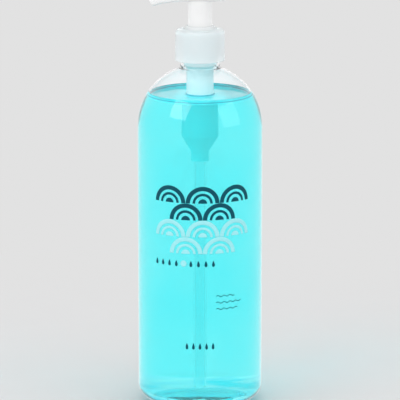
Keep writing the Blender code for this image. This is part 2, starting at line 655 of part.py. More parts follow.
def build():
    clear_scene()
    product = new_collection("hand_soap_pump_bottle")
    cutters = new_collection("cutters")
    clear_pet = plastic("clear_pet", (0.93, 0.97, 0.98), roughness=0.05, alpha=0.3, transmission=1.0)
    blue_soap = plastic("blue_soap", (0.12, 0.80, 0.93), roughness=0.05, alpha=0.7, transmission=0.6)
    natural_cap = plastic("natural_cap", (0.86, 0.90, 0.91), roughness=0.35)
    natural_head = plastic("natural_head", (0.90, 0.92, 0.92), roughness=0.32)
    natural_collar = plastic("natural_collar", (0.88, 0.91, 0.92), roughness=0.35)
    natural_housing = plastic("natural_housing", (0.84, 0.90, 0.92), roughness=0.35)
    natural_tube = plastic("natural_tube", (0.86, 0.92, 0.93), roughness=0.30)
    natural_stem = plastic("natural_stem", (0.88, 0.90, 0.91), roughness=0.35)
    natural_poppet = plastic("natural_poppet", (0.86, 0.88, 0.90), roughness=0.40)
    soft_piston = plastic("soft_piston", (0.80, 0.84, 0.86), roughness=0.55)
    foam_seal = plastic("foam_seal", (0.90, 0.90, 0.88), roughness=0.70)
    spring_steel = plastic("spring_steel", (0.62, 0.63, 0.65), roughness=0.28, metallic=1.0)
    ball_steel = plastic("ball_steel", (0.66, 0.67, 0.69), roughness=0.15, metallic=1.0)
    finish(make_bottle(), clear_pet, product)
    finish(make_soap(), blue_soap, product)
    finish(make_closure(), natural_cap, product)
    finish(make_gasket(), foam_seal, product)
    finish(make_housing(cutters), natural_housing, product)
    finish(make_lock_collar(), natural_collar, product)
    finish(make_dip_tube(), natural_tube, product)
    finish(make_ball(), ball_steel, product)
    finish(make_spring(), spring_steel, product)
    finish(make_stem(), natural_stem, product)
    finish(make_piston(), soft_piston, product)
    finish(make_poppet(cutters), natural_poppet, product)
    finish(make_head(cutters), natural_head, product)


build()
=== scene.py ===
import json
import math

import bmesh
import bpy
from mathutils import Matrix, Vector


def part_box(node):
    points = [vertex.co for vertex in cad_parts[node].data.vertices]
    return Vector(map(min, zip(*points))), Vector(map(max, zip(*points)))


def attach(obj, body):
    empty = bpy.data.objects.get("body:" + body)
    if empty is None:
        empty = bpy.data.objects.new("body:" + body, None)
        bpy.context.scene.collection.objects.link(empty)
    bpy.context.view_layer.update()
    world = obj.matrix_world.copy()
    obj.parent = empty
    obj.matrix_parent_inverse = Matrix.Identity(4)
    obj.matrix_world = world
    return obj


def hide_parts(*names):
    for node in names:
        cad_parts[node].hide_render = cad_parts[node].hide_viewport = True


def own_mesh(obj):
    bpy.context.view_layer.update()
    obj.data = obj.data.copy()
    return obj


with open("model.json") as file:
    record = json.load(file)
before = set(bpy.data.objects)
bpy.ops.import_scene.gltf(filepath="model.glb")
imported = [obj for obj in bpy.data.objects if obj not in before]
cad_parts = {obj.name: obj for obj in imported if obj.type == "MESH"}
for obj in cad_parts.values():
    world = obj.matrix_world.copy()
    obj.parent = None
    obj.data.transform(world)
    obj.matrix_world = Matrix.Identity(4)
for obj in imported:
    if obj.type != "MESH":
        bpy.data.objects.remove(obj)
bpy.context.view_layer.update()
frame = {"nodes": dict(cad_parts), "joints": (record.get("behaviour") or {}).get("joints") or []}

# The photograph's view: a long lens some way off, looking a little down on the bottle's side.
# The picture cuts off the top of the head and the foot of the bottle, as the photograph does.
VIEW_DISTANCE = 1.8
VIEW_ELEVATION = math.radians(12.7)
VIEW_TARGET = Vector((0.0, 0.0, 0.132))
LENS_MM = 251.7
SENSOR_MM = 36.0
NEAREST_SEEN = 0.1
FARTHEST_SEEN = 60.0

eye = VIEW_TARGET + VIEW_DISTANCE * Vector((0.0, -math.cos(VIEW_ELEVATION), math.sin(VIEW_ELEVATION)))
camera_data = bpy.data.cameras.new("camera")
camera_data.sensor_width = SENSOR_MM
camera_data.lens = LENS_MM
camera_data.clip_start = NEAREST_SEEN
camera_data.clip_end = FARTHEST_SEEN
camera = bpy.data.objects.new("camera", camera_data)
camera.location = eye
camera.rotation_euler = (VIEW_TARGET - eye).to_track_quat("-Z", "Y").to_euler()
bpy.context.scene.collection.objects.link(camera)
bpy.context.scene.camera = camera
bpy.context.scene.view_settings.view_transform = "Standard"


# Bottle: clear PET, stretch blown in one piece, with a thin wall, a domed shoulder, a thicker neck
# and a base whose middle is pushed up. Its outside stays a film of ink inside the solid's radius.
WELD = 1e-6
INK_ROOM = 0.00004
BODY_TOP_Z = 0.1814
BODY_WALL = 0.0008
BASE_WALL = 0.0016
SHOULDER_HEIGHT = 0.0395
SHOULDER_POWER = 1.956
HEEL_HEIGHT = 0.0100
HEEL_WIDTH = 0.0150
RING_WIDTH = 0.0025
PUSH_UP_HEIGHT = 0.0070
NECK_RADIUS = 0.01275
NECK_WALL = 0.0019
NECK_FILLET = 0.0014
NECK_FILLET_END = 255.0
MOUTH_ROUND = 0.0003
BOTTLE_STEPS = 144
FLOOR_STEPS = 14
HEEL_STEPS = 16
DOME_STEPS = 36
FILLET_STEPS = 6
SHARP_ANGLE = math.radians(38.0)

solid_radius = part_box("bottle")[1].x
land_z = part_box("bottle")[1].z
body_radius = solid_radius - INK_ROOM
inner_radius = body_radius - BODY_WALL
neck_bore = NECK_RADIUS - NECK_WALL
heel_radius = body_radius - HEEL_WIDTH
ring_radius = heel_radius - RING_WIDTH


def arc(centre, across, up, start, end, steps):
    """Points (radius, height) on an ellipse, its angles in degrees."""
    turns = [math.radians(start + (end - start) * step / steps) for step in range(steps + 1)]
    return [(centre[0] + across * math.cos(turn), centre[1] + up * math.sin(turn)) for turn in turns]


def dome(radius, height, top_radius, steps):
    """Points of the domed shoulder, from a radius near the neck down to the straight body."""
    power = 2.0 / SHOULDER_POWER
    start = math.acos((top_radius / radius) ** (1.0 / power))
    turns = [start * (1.0 - step / steps) for step in range(steps + 1)]
    return [(radius * math.cos(turn) ** power, BODY_TOP_Z + height * math.sin(turn) ** power)
            for turn in turns]


def as_piece(shape, name):
    """Makes an object of a finished bmesh, smooth but for its sharp edges."""
    mesh = bpy.data.meshes.new(name)
    shape.to_mesh(mesh)
    shape.free()
    mesh.shade_smooth()
    mesh.set_sharp_from_angle(angle=SHARP_ANGLE)
    piece = bpy.data.objects.new(name, mesh)
    bpy.context.scene.collection.objects.link(piece)
    return piece


def turned(name, outline, steps, closed=False):
    """An outline of (radius, height) points, turned about the bottle's axis."""
    shape = bmesh.new()
    points = [shape.verts.new((radius, 0.0, height)) for radius, height in outline]
    lines = [shape.edges.new(ends) for ends in zip(points, points[1:])]
    if closed:
        lines.append(shape.edges.new((points[-1], points[0])))
    bmesh.ops.spin(shape, geom=points + lines, cent=(0.0, 0.0, 0.0), axis=(0.0, 0.0, 1.0),
                   dvec=(0.0, 0.0, 0.0), angle=math.tau, steps=steps, use_merge=True)
    bmesh.ops.remove_doubles(shape, verts=shape.verts[:], dist=WELD)
    bmesh.ops.recalc_face_normals(shape, faces=shape.faces[:])
    return as_piece(shape, name)


inner_floor = arc((0.0, BASE_WALL), ring_radius, PUSH_UP_HEIGHT, 90.0, 0.0, FLOOR_STEPS)
inner_heel = arc((heel_radius, HEEL_HEIGHT), inner_radius - heel_radius, HEEL_HEIGHT - BASE_WALL,
                 -90.0, 0.0, HEEL_STEPS)
inner_dome = dome(inner_radius, SHOULDER_HEIGHT - BODY_WALL, neck_bore, DOME_STEPS)[::-1]
outer_dome = dome(body_radius, SHOULDER_HEIGHT, NECK_RADIUS + NECK_FILLET, DOME_STEPS)
neck_root_z = outer_dome[0][1] + NECK_FILLET
mouth = [(neck_bore, land_z - MOUTH_ROUND), (neck_bore + MOUTH_ROUND, land_z),
         (NECK_RADIUS - MOUTH_ROUND, land_z), (NECK_RADIUS, land_z - MOUTH_ROUND)]
neck_foot = arc((NECK_RADIUS + NECK_FILLET, neck_root_z), NECK_FILLET, NECK_FILLET,
                180.0, NECK_FILLET_END, FILLET_STEPS)
outer_heel = arc((heel_radius, HEEL_HEIGHT), HEEL_WIDTH, HEEL_HEIGHT, 0.0, -90.0, HEEL_STEPS)
push_up = arc((0.0, 0.0), ring_radius, PUSH_UP_HEIGHT, 0.0, 90.0, FLOOR_STEPS)
bottle = turned("bottle_shell", inner_floor + inner_heel + inner_dome + mouth + neck_foot + outer_dome
                + outer_heel + push_up, BOTTLE_STEPS)


class Socket:
    """An output of a node in a material, with Python's operators as Math nodes."""

    def __init__(self, tree, output=None):
        self.tree = tree
        self.output = output

    def node(self, kind, sockets, output=0, **settings):
        """Adds a node: its settings first, then what its sockets hold."""
        made = self.tree.nodes.new("ShaderNode" + kind)
        for name, value in settings.items():
            setattr(made, name, value)
        for name, value in sockets.items():
            if isinstance(value, Socket):
                self.tree.links.new(value.output, made.inputs[name])
            else:
                made.inputs[name].default_value = value
        return Socket(self.tree, made.outputs[output] if made.outputs else None)

    def maths(self, operation, first, second):
        return self.node("Math", {0: first, 1: second}, operation=operation)

    def __add__(self, other):
        return self.maths("ADD", self, other)

    def __sub__(self, other):
        return self.maths("SUBTRACT", self, other)

    def __rsub__(self, other):
        return self.maths("SUBTRACT", other, self)

    def __mul__(self, other):
        return self.maths("MULTIPLY", self, other)

    __radd__ = __add__
    __rmul__ = __mul__

    def place(self):
        """Where a point lies on the piece, in metres."""
        return self.node("TexCoord", {}, output="Object")

    def height(self):
        """How high a point lies on the piece, in metres."""
        return self.node("SeparateXYZ", {0: self.place()}, output="Z")

    def cloud(self, scale, detail=2.0, flatness=1.0):
        """A soft noise from 0 to 1, with scale features to the metre, flattened into level streaks."""
        where = self.node("VectorMath", {0: self.place(), 1: (1.0, 1.0, flatness)}, operation="MULTIPLY")
        return self.node("TexNoise", {"Vector": where, "Scale": scale, "Detail": detail})

    def relief(self, height, depth):
        """A normal for a surface whose relief is height times depth metres."""
        return self.node("Bump", {"Strength": 1.0, "Distance": depth, "Height": height})

    def blend(self, share, first, second):
        """A colour between two, by a share. The numbers are the node's colour sockets."""
        return self.node("Mix", {0: share, 6: first, 7: second}, output=2, data_type="RGBA")


def finish_of(name, *pieces):
    """A new material on these pieces, as the socket that its nodes start from."""
    material = bpy.data.materials.new(name)
    material.use_nodes = True
    material.node_tree.nodes.clear()
    for piece in pieces:
        if piece in frame["nodes"].values():
            piece.data.materials.clear()
        piece.data.materials.append(material)
    return Socket(material.node_tree)


def clear_to_lamps(start, shader, tint):
    """Ends a clear material: the lamps' rays pass straight through it, tinted."""
    lamp_ray = start.node("LightPath", {}, output="Is Shadow Ray")
    straight = start.node("BsdfTransparent", {"Color": tint})
    surface = start.node("MixShader", {0: lamp_ray, 1: shader, 2: straight})
    start.node("OutputMaterial", {"Surface": surface})


PET_COLOUR = (0.97, 0.98, 0.99, 1.0)
PET_PALE_COLOUR = (0.985, 0.99, 0.995, 1.0)
PET_LAMP_TINT = (0.98, 0.985, 0.99, 1.0)
PET_FLOW_SCALE = 46.0
PET_FLOW_DEPTH = 0.00006
PET_HAZE_SCALE = 180.0

pet = finish_of("clear_pet", bottle)
flow = pet.cloud(PET_FLOW_SCALE)
pet_shader = pet.node("BsdfPrincipled", {
    "Base Color": pet.blend(flow, PET_COLOUR, PET_PALE_COLOUR),
    "Roughness": 0.015 + 0.02 * pet.cloud(PET_HAZE_SCALE),
    "Normal": pet.relief(flow, PET_FLOW_DEPTH),
    "IOR": 1.12,
    "Coat Weight": 0.7,
    "Coat Roughness": 0.02,
    "Transmission Weight": 1.0})
clear_to_lamps(pet, pet_shader, PET_LAMP_TINT)
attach(bottle, "bottle")
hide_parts("bottle")


# Neck thread: a ridge of one and a half turns with sloping sides, moulded with the neck in clear PET.
# It fades out at both ends, and the closure is screwed down over it.
THREAD_PITCH = 0.00423
THREAD_TURNS = 1.5
THREAD_STEPS = 48
THREAD_FADE = 0.10
THREAD_END_SHARE = 0.2
THREAD_SINK = 0.00006
RIDGE_HEIGHT = 0.0009
RIDGE_HALF_FOOT = 0.0008
RIDGE_HALF_CREST = 0.0003
NECK_THREAD_DROP = 0.0118


def ridge(name, foot_radius, crest_radius, start_z):
    """A screw ridge from a foot radius to a crest radius, climbing as it turns."""
    shape = bmesh.new()
    outline = [(foot_radius, -RIDGE_HALF_FOOT), (crest_radius, -RIDGE_HALF_CREST),
               (crest_radius, RIDGE_HALF_CREST), (foot_radius, RIDGE_HALF_FOOT)]
    points = [shape.verts.new((radius, 0.0, start_z + height)) for radius, height in outline]
    lines = [shape.edges.new(ends) for ends in zip(points, points[1:] + points[:1])]
    steps = round(THREAD_TURNS * THREAD_STEPS)
    bmesh.ops.spin(shape, geom=points + lines, cent=(0.0, 0.0, 0.0), axis=(0.0, 0.0, 1.0),
                   dvec=(0.0, 0.0, THREAD_PITCH / THREAD_STEPS), angle=math.tau * THREAD_TURNS, steps=steps)
    bmesh.ops.holes_fill(shape, edges=[edge for edge in shape.edges if edge.is_boundary], sides=0)
    for point in shape.verts:
        turn = (point.co.z - start_z) / THREAD_PITCH
        shown = min(1.0, max(0.0, turn / THREAD_FADE), max(0.0, (THREAD_TURNS - turn) / THREAD_FADE))
        radius = math.hypot(point.co.x, point.co.y)
        share = THREAD_END_SHARE + (1.0 - THREAD_END_SHARE) * shown
        faded = foot_radius + (radius - foot_radius) * share
        point.co.x *= faded / radius
        point.co.y *= faded / radius
    bmesh.ops.recalc_face_normals(shape, faces=shape.faces[:])
    return as_piece(shape, name)


thread_z = land_z - NECK_THREAD_DROP
neck_thread = ridge("neck_thread", NECK_RADIUS - THREAD_SINK, NECK_RADIUS + RIDGE_HEIGHT, thread_z)
neck_thread.data.materials.append(bottle.data.materials[0])
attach(neck_thread, "bottle")


# Soap: the blue liquid, wetting the bottle's wall and the pump, with its edge drawn up at both.
# It reaches a little into the wall, so that no film of air shows between them.
SEAT_GAP = 0.0003
WETTING = 0.00025
FILL_ABOVE_BODY = 0.0196
EDGE_RISE = 0.0021
EDGE_WIDTH = 0.0030
PUMP_EDGE_WIDTH = 0.0022
WALL_EDGE_END = 355.0
PUMP_EDGE_STEPS = 10
WALL_EDGE_STEPS = 12
SOAP_DOME_STEPS = 24
CYLINDER_STEP = 0.00185

barrel_radius = neck_bore - SEAT_GAP
cylinder_radius = barrel_radius - CYLINDER_STEP
fill_z = BODY_TOP_Z + FILL_ABOVE_BODY
wet_radius = inner_radius + WETTING
wet_dome = SHOULDER_HEIGHT - BODY_WALL + WETTING
edge_z = fill_z + EDGE_RISE
edge_share = (edge_z - BODY_TOP_Z) / wet_dome
edge_radius = wet_radius * (1.0 - edge_share ** SHOULDER_POWER) ** (1.0 / SHOULDER_POWER)
hidden_radius = cylinder_radius - WETTING
pump_edge = arc((hidden_radius + PUMP_EDGE_WIDTH, edge_z), PUMP_EDGE_WIDTH, EDGE_RISE,
                180.0, 270.0, PUMP_EDGE_STEPS)
wall_edge = arc((edge_radius - EDGE_WIDTH, edge_z), EDGE_WIDTH, EDGE_RISE,
                270.0, WALL_EDGE_END, WALL_EDGE_STEPS)
soap_dome = dome(wet_radius, wet_dome, edge_radius, SOAP_DOME_STEPS)
soap_heel = arc((heel_radius, HEEL_HEIGHT), wet_radius - heel_radius, HEEL_HEIGHT - BASE_WALL + WETTING,
                0.0, -90.0, HEEL_STEPS)
soap_floor = arc((0.0, BASE_WALL - WETTING), ring_radius, PUSH_UP_HEIGHT, 0.0, 90.0, FLOOR_STEPS)
soap = turned("soap_fill", [(0.0, edge_z)] + pump_edge + wall_edge + soap_dome + soap_heel + soap_floor,
              BOTTLE_STEPS)

TOP_PAINTED_SLOT = 1
SURFACE_TURN = 0.25
FOOT_PAINTED_REFRACTION_SLOT = 2
FOOT_TURN = -0.12
# A band of painted shade at the soap's edge, where the meniscus bends the light.
EDGE_SHADE_RISE = 0.0006
EDGE_SHADE_HALF_HEIGHT = 0.0004
EDGE_SHADE_COLOUR = (0.0, 0.20, 0.36, 1.0)
PATTERN_LOW = 0.40
PATTERN_HIGH = 0.60
SOAP_LAMP_TINT = (0.30, 0.96, 1.0, 1.0)


def liquid(name, thin, deep, clearness, bending, waves_and_refraction, wave_depth):
    """Blue soap, clear or hazy, ripples and tone set by scale and flatness. Painted shade darkens its edge.
    """
    start = finish_of(name, soap)
    # Painted shade darkens a band just above the soap's level, where the meniscus bends the light.
    off_edge_shade = start.maths("ABSOLUTE", start.height() - (fill_z + EDGE_SHADE_RISE), 0.0)
    edge_shade = start.node("MapRange", {"Value": off_edge_shade, "From Max": EDGE_SHADE_HALF_HEIGHT,
                                   "To Min": 1.0, "To Max": 0.0})
    scale, flatness = waves_and_refraction
    # This pattern varies the tone; on the foot its level streaks are painted refractions of the base.
    depth = start.node("MapRange", {"Value": start.cloud(scale, flatness=flatness),
                                    "From Min": PATTERN_LOW, "From Max": PATTERN_HIGH})
    body = start.blend(depth, (*deep, 1.0), (*thin, 1.0))
    shader = start.node("BsdfPrincipled", {
        "Base Color": start.blend(edge_shade, body, EDGE_SHADE_COLOUR),
        "Roughness": 0.0,
        "Normal": start.relief(start.cloud(2.0 * scale, flatness=flatness), wave_depth),
        "IOR": bending,
        "Transmission Weight": clearness})
    clear_to_lamps(start, shader, SOAP_LAMP_TINT)


liquid("blue_soap", thin=(0.135, 0.97, 1.0), deep=(0.085, 0.955, 1.0), clearness=0.88, bending=1.35,
       waves_and_refraction=(20.0, 1.0), wave_depth=0.00005)
# The top surface is a hazier, more saturated copy, its colour painted in place of the light seen through
# it.
liquid("blue_soap_top_painted", thin=(0.10, 0.93, 1.0), deep=(0.03, 0.91, 1.0), clearness=0.35, bending=1.35,
       waves_and_refraction=(60.0, 1.0), wave_depth=0.0001)
# On the foot, level streaks of dark and pale blue are painted refractions of the base, which barely bends
# light.
liquid("blue_soap_foot_painted_refraction", thin=(0.36, 1.0, 1.0), deep=(0.0005, 0.80, 0.96), clearness=0.95, bending=1.02,
       waves_and_refraction=(80.0, 5.0), wave_depth=0.0006)
# Upward faces above the soap's level take the copy with painted colour, downward faces the painted
# refraction.
for face in soap.data.polygons:
    if face.normal.z > SURFACE_TURN and face.center.z > fill_z - WETTING:
        face.material_index = TOP_PAINTED_SLOT
    elif face.normal.z < FOOT_TURN:
        face.material_index = FOOT_PAINTED_REFRACTION_SLOT
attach(soap, "bottle")
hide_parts("soap_liquid")


# Pump housing: one moulding of natural polypropylene that hangs in the neck by its flange. Its barrel
# steps down to the cylinder, a cone holds the ball's seat, and the dip tube is pressed in below.
BARREL_WALL = 0.00075
CYLINDER_WALL = 0.0010
CYLINDER_LENGTH = 0.0451
CYLINDER_FOOT_CHAMFER = 0.0004
CONE_HEIGHT = 0.0100
SOCKET_WALL = 0.0010
TUBE_RADIUS = 0.0029
FLANGE_THICKNESS = 0.0010
VENT_RADIUS = 0.0006
VENT_REACH = 0.0074
BALL_RADIUS = 0.0024
BALL_SEAT_RADIUS = 0.0019
BALL_SIDE_GAP = 0.0010
SEAT_THICKNESS = 0.0018
SPRING_SEAT_WIDTH = 0.0009
PUMP_STEPS = 96
CUTTER_FACETS = 32
SLIVER = 1e-5

housing_low, housing_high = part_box("pump_housing")
flange_top = housing_high.z
flange_z = flange_top - FLANGE_THICKNESS
flange_radius = housing_high.x
barrel_bore = barrel_radius - BARREL_WALL
cylinder_bore = cylinder_radius - CYLINDER_WALL
collar_foot_z, collar_top_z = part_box("lock_collar")[0].z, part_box("lock_collar")[1].z
ledge_z = collar_foot_z - SEAT_GAP
spring_floor_z = ledge_z - CYLINDER_LENGTH
cone_foot_z = spring_floor_z - CONE_HEIGHT
tube_seat_z = cone_foot_z + SEAT_GAP
ball_cage_radius = BALL_RADIUS + BALL_SIDE_GAP
socket_bore = TUBE_RADIUS + SEAT_GAP
socket_radius = socket_bore + SOCKET_WALL
spring_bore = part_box("spring")[1].x - SPRING_SEAT_WIDTH
seat_z = tube_seat_z + SEAT_THICKNESS
housing = turned("housing_moulding", [
    (socket_bore, housing_low.z), (socket_bore, tube_seat_z), (BALL_SEAT_RADIUS, tube_seat_z),
    (BALL_SEAT_RADIUS, seat_z), (ball_cage_radius, seat_z + ball_cage_radius - BALL_SEAT_RADIUS),
    (ball_cage_radius, spring_floor_z - BALL_SIDE_GAP), (spring_bore, spring_floor_z),
    (cylinder_bore, spring_floor_z), (cylinder_bore, ledge_z), (barrel_bore, ledge_z),
    (barrel_bore, flange_top), (flange_radius, flange_top), (flange_radius, flange_z),
    (barrel_radius, flange_z), (barrel_radius, ledge_z - BARREL_WALL),
    (cylinder_radius, ledge_z - BARREL_WALL - CYLINDER_STEP), (cylinder_radius, spring_floor_z),
    (cylinder_radius - CYLINDER_FOOT_CHAMFER, spring_floor_z - CYLINDER_WALL),
    (socket_radius, cone_foot_z), (socket_radius, housing_low.z)], PUMP_STEPS, closed=True)


def carved(piece, *cuts):
    """Cuts or joins helper shapes into a piece, each with its operation, and cleans the seams."""
    for helper, operation in cuts:
        cut = piece.modifiers.new(helper.name, "BOOLEAN")
        cut.operation = operation
        cut.solver = "EXACT"
        cut.object = helper
    ready = piece.evaluated_get(bpy.context.evaluated_depsgraph_get())
    shape = bmesh.new()
    shape.from_mesh(ready.to_mesh())
    ready.to_mesh_clear()
    bmesh.ops.triangulate(shape, faces=[face for face in shape.faces if len(face.verts) > 4])
    bmesh.ops.remove_doubles(shape, verts=shape.verts[:], dist=WELD)
    bmesh.ops.dissolve_degenerate(shape, edges=shape.edges[:], dist=SLIVER)
    name = piece.name
    for old in [piece] + [helper for helper, operation in cuts]:
        bpy.data.objects.remove(old)
    return as_piece(shape, name)


def rod_cutter(name, radius, length, turn, place):
    """A plain round cutter, turned about Y and placed by its middle."""
    shape = bmesh.new()
    bmesh.ops.create_cone(shape, cap_ends=True, segments=CUTTER_FACETS, radius1=radius, radius2=radius,
                          depth=length)
    shape.transform(Matrix.Translation(place) @ Matrix.Rotation(turn, 4, "Y"))
    return as_piece(shape, name)


vent = rod_cutter("vent", VENT_RADIUS, VENT_REACH, math.radians(90.0),
                  (barrel_radius, 0.0, 0.5 * (ledge_z + land_z)))
housing = carved(housing, (vent, "DIFFERENCE"))

# Blue painted on plastic below the soap's level, for the light that reaches it through the soap.
UNDER_SOAP_PAINTED_TINT = (0.15, 0.99, 1.0)
NATURAL_LAMP_TINT = (0.91, 0.945, 0.955, 1.0)
NATURAL_FLOW_SCALE = 150.0
NATURAL_GRAIN_SCALE = 2400.0
NATURAL_GRAIN_DEPTH = 0.000006


def natural_plastic(name, *pieces, pale, shade, clearness, bending, roughness, under_soap_painted_tint=UNDER_SOAP_PAINTED_TINT):
    """Uncoloured plastic, milky with flow marks and faint grain; satin where dry, painted blue under the
    soap.
    """
    start = finish_of(name, *pieces)
    flow = start.cloud(NATURAL_FLOW_SCALE, detail=3.0)
    grain = start.cloud(NATURAL_GRAIN_SCALE)
    dry_colour = start.blend(flow, (*shade, 1.0), (*pale, 1.0))
    # Below the soap's level the plastic loses its coat and is painted blue, for the light through the soap.
    under_soap = start.maths("LESS_THAN", start.height(), fill_z)
    shader = start.node("BsdfPrincipled", {
        "Base Color": start.blend(under_soap, dry_colour, (*under_soap_painted_tint, 1.0)),
        "Roughness": roughness + 0.12 * flow,
        "Normal": start.relief(grain + 0.5 * flow, NATURAL_GRAIN_DEPTH),
        "IOR": bending,
        "Coat Weight": 0.6 * (1.0 - under_soap),
        "Coat Roughness": 0.18,
        "Transmission Weight": clearness})
    clear_to_lamps(start, shader, NATURAL_LAMP_TINT)


# Above the soap its cyan colour is painted, for the blue light that the soap sends up into it.
natural_plastic("natural_housing", housing, pale=(0.80, 0.985, 1.0), shade=(0.73, 0.975, 1.0),
                clearness=0.18, bending=1.10, roughness=0.34)
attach(housing, "pump_core")
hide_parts("pump_housing")


# Dip tube: extruded polyethylene, pressed into the housing's socket and reaching nearly to the base.
# Gasket: a foam ring between the neck's mouth and the housing's flange.
FOAM_COLOUR = (0.90, 0.90, 0.88, 1.0)
FOAM_CELL_COLOUR = (0.80, 0.80, 0.78, 1.0)
FOAM_CELL_SCALE = 3200.0
FOAM_CELL_DEPTH = 0.00006
FOAM_WEAR_SCALE = 900.0

natural_plastic("natural_tube", frame["nodes"]["dip_tube"], pale=(0.93, 1.0, 1.0), shade=(0.88, 0.99, 1.0),
                clearness=1.0, bending=1.03, roughness=0.05, under_soap_painted_tint=(0.84, 0.995, 1.0))
foam = finish_of("foam_seal", frame["nodes"]["gasket"])
cells = foam.node("TexVoronoi", {"Vector": foam.place(), "Scale": FOAM_CELL_SCALE})
foam_shader = foam.node("BsdfPrincipled", {
    "Base Color": foam.blend(cells, FOAM_CELL_COLOUR, FOAM_COLOUR),
    "Roughness": 0.65 + 0.2 * foam.cloud(FOAM_WEAR_SCALE),
    "Normal": foam.relief(cells, FOAM_CELL_DEPTH)})
foam.node("OutputMaterial", {"Surface": foam_shader})


# Valve ball and return spring: stainless steel. The ball is polished, and the spring is coiled from
# drawn wire with its end turns closed. It sits between the housing and the poppet.
WIRE_RADIUS = 0.00045
SPRING_TURNS = 8
END_TURNS = 1
END_PITCH = 0.00099
COIL_STEPS = 36
WIRE_FACETS = 12

spring_low, spring_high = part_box("spring")
spring_length = spring_high.z - spring_low.z
coil_radius = spring_high.x - WIRE_RADIUS
coil_height = spring_length - 2.0 * WIRE_RADIUS
open_turns = SPRING_TURNS - 2 * END_TURNS
open_pitch = (coil_height - 2 * END_TURNS * END_PITCH) / open_turns
wire = bmesh.new()
tip = bmesh.ops.create_circle(wire, segments=WIRE_FACETS, radius=WIRE_RADIUS)["verts"]
wire.transform(Matrix.Translation((coil_radius, 0.0, spring_low.z + WIRE_RADIUS))
               @ Matrix.Rotation(math.radians(90.0), 4, "X"))
growing = tip + wire.edges[:]
for turns, pitch in ((END_TURNS, END_PITCH), (open_turns, open_pitch), (END_TURNS, END_PITCH)):
    grown = bmesh.ops.spin(wire, geom=growing, cent=(0.0, 0.0, 0.0), axis=(0.0, 0.0, 1.0),
                           dvec=(0.0, 0.0, pitch / COIL_STEPS), angle=math.tau * turns,
                           steps=COIL_STEPS * turns)
    growing = grown["geom_last"]
bmesh.ops.holes_fill(wire, edges=[edge for edge in wire.edges if edge.is_boundary], sides=0)
bmesh.ops.recalc_face_normals(wire, faces=wire.faces[:])
spring = as_piece(wire, "return_spring")

MARK_SHADE = 0.85
MARK_DEPTH = 0.00001


def steel(name, piece, colour, roughness, mark_scale):
    """Bare stainless steel with fine drawing or tumbling marks."""
    start = finish_of(name, piece)
    marks = start.cloud(mark_scale, detail=4.0)
    dull_colour = [MARK_SHADE * part for part in colour]
    shader = start.node("BsdfPrincipled", {
        "Base Color": start.blend(marks, (*dull_colour, 1.0), (*colour, 1.0)),
        "Metallic": 1.0,
        "Roughness": roughness + 0.15 * marks,
        "Normal": start.relief(marks, MARK_DEPTH)})
    start.node("OutputMaterial", {"Surface": shader})


steel("spring_steel", spring, colour=(0.66, 0.67, 0.69), roughness=0.24, mark_scale=5200.0)
steel("ball_steel", frame["nodes"]["valve_ball"], colour=(0.72, 0.73, 0.75), roughness=0.08,
      mark_scale=1800.0)
press = next(joint for joint in frame["joints"] if joint["name"] == "head_press")
stroke = press["range_m"][1]
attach(spring, "pump_core")
1.0 - stroke / spring_length
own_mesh(spring)
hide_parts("spring")


# Poppet, piston and stem: the moving core. The poppet is pressed into the hollow stem, and the soft
# piston slides between them, so that each stroke opens and shuts the ports.
PISTON_COLOUR = (0.82, 0.86, 0.88, 1.0)
PISTON_WORN_COLOUR = (0.74, 0.79, 0.82, 1.0)
PISTON_WEAR_SCALE = 700.0
PISTON_WEAR_DEPTH = 0.00003

for part in ("poppet", "stem"):
    natural_plastic("natural_" + part, frame["nodes"][part], pale=(0.95, 0.97, 0.98),
                    shade=(0.90, 0.95, 0.97), clearness=0.10, bending=1.3, roughness=0.32)
piston = finish_of("soft_piston", frame["nodes"]["piston"])
wear = piston.cloud(PISTON_WEAR_SCALE, detail=3.0)
piston_shader = piston.node("BsdfPrincipled", {
    "Base Color": piston.blend(wear, PISTON_WORN_COLOUR, PISTON_COLOUR),
    "Roughness": 0.48 + 0.15 * wear,
    "Normal": piston.relief(wear, PISTON_WEAR_DEPTH)})
piston.node("OutputMaterial", {"Surface": piston_shader})


# Lock collar: natural polypropylene, snapped into the housing's barrel above the closure. It guides
# the stem and the head's skirt, and its flange is the ring that shows on top of the closure.
COLLAR_WALL = 0.00155
COLLAR_PLATE = 0.0015
COLLAR_LIP = 0.00093
COLLAR_FLANGE_WIDTH = 0.0010
COLLAR_FLANGE_HEIGHT = 0.0023
COLLAR_RIM_HEIGHT = 0.0008
GUIDE_HEIGHT = 0.0120
GUIDE_SIDE_GAP = 0.00095
SKIRT_WALL = 0.0010
STEM_RADIUS = 0.0040
EDGE_ROUND = 0.00025
ROUND_SEGMENTS = 3

collar_radius = barrel_bore - SEAT_GAP
collar_bore = collar_radius - COLLAR_WALL
skirt_radius = collar_bore - SEAT_GAP
skirt_bore = skirt_radius - SKIRT_WALL
guide_radius = skirt_bore - GUIDE_SIDE_GAP
guide_bore = STEM_RADIUS + SEAT_GAP
guide_top_z = collar_foot_z + GUIDE_HEIGHT
collar_flange_z = collar_top_z - COLLAR_FLANGE_HEIGHT
rim_radius = collar_radius + COLLAR_FLANGE_WIDTH
collar = turned("collar_ring", [
    (guide_bore, collar_foot_z), (guide_bore, guide_top_z), (guide_radius, guide_top_z),
    (guide_radius, collar_foot_z + COLLAR_PLATE), (collar_bore, collar_foot_z + COLLAR_PLATE),
    (collar_bore, collar_top_z), (collar_bore + COLLAR_LIP, collar_top_z),
    (rim_radius, collar_flange_z + COLLAR_RIM_HEIGHT), (rim_radius, collar_flange_z),
    (collar_radius, collar_flange_z), (collar_radius, collar_foot_z)], PUMP_STEPS, closed=True)
bevel = collar.modifiers.new("mould_round", "BEVEL")
bevel.width = EDGE_ROUND
bevel.segments = ROUND_SEGMENTS
bevel.limit_method = "ANGLE"
bevel.angle_limit = SHARP_ANGLE
bevel.harden_normals = True
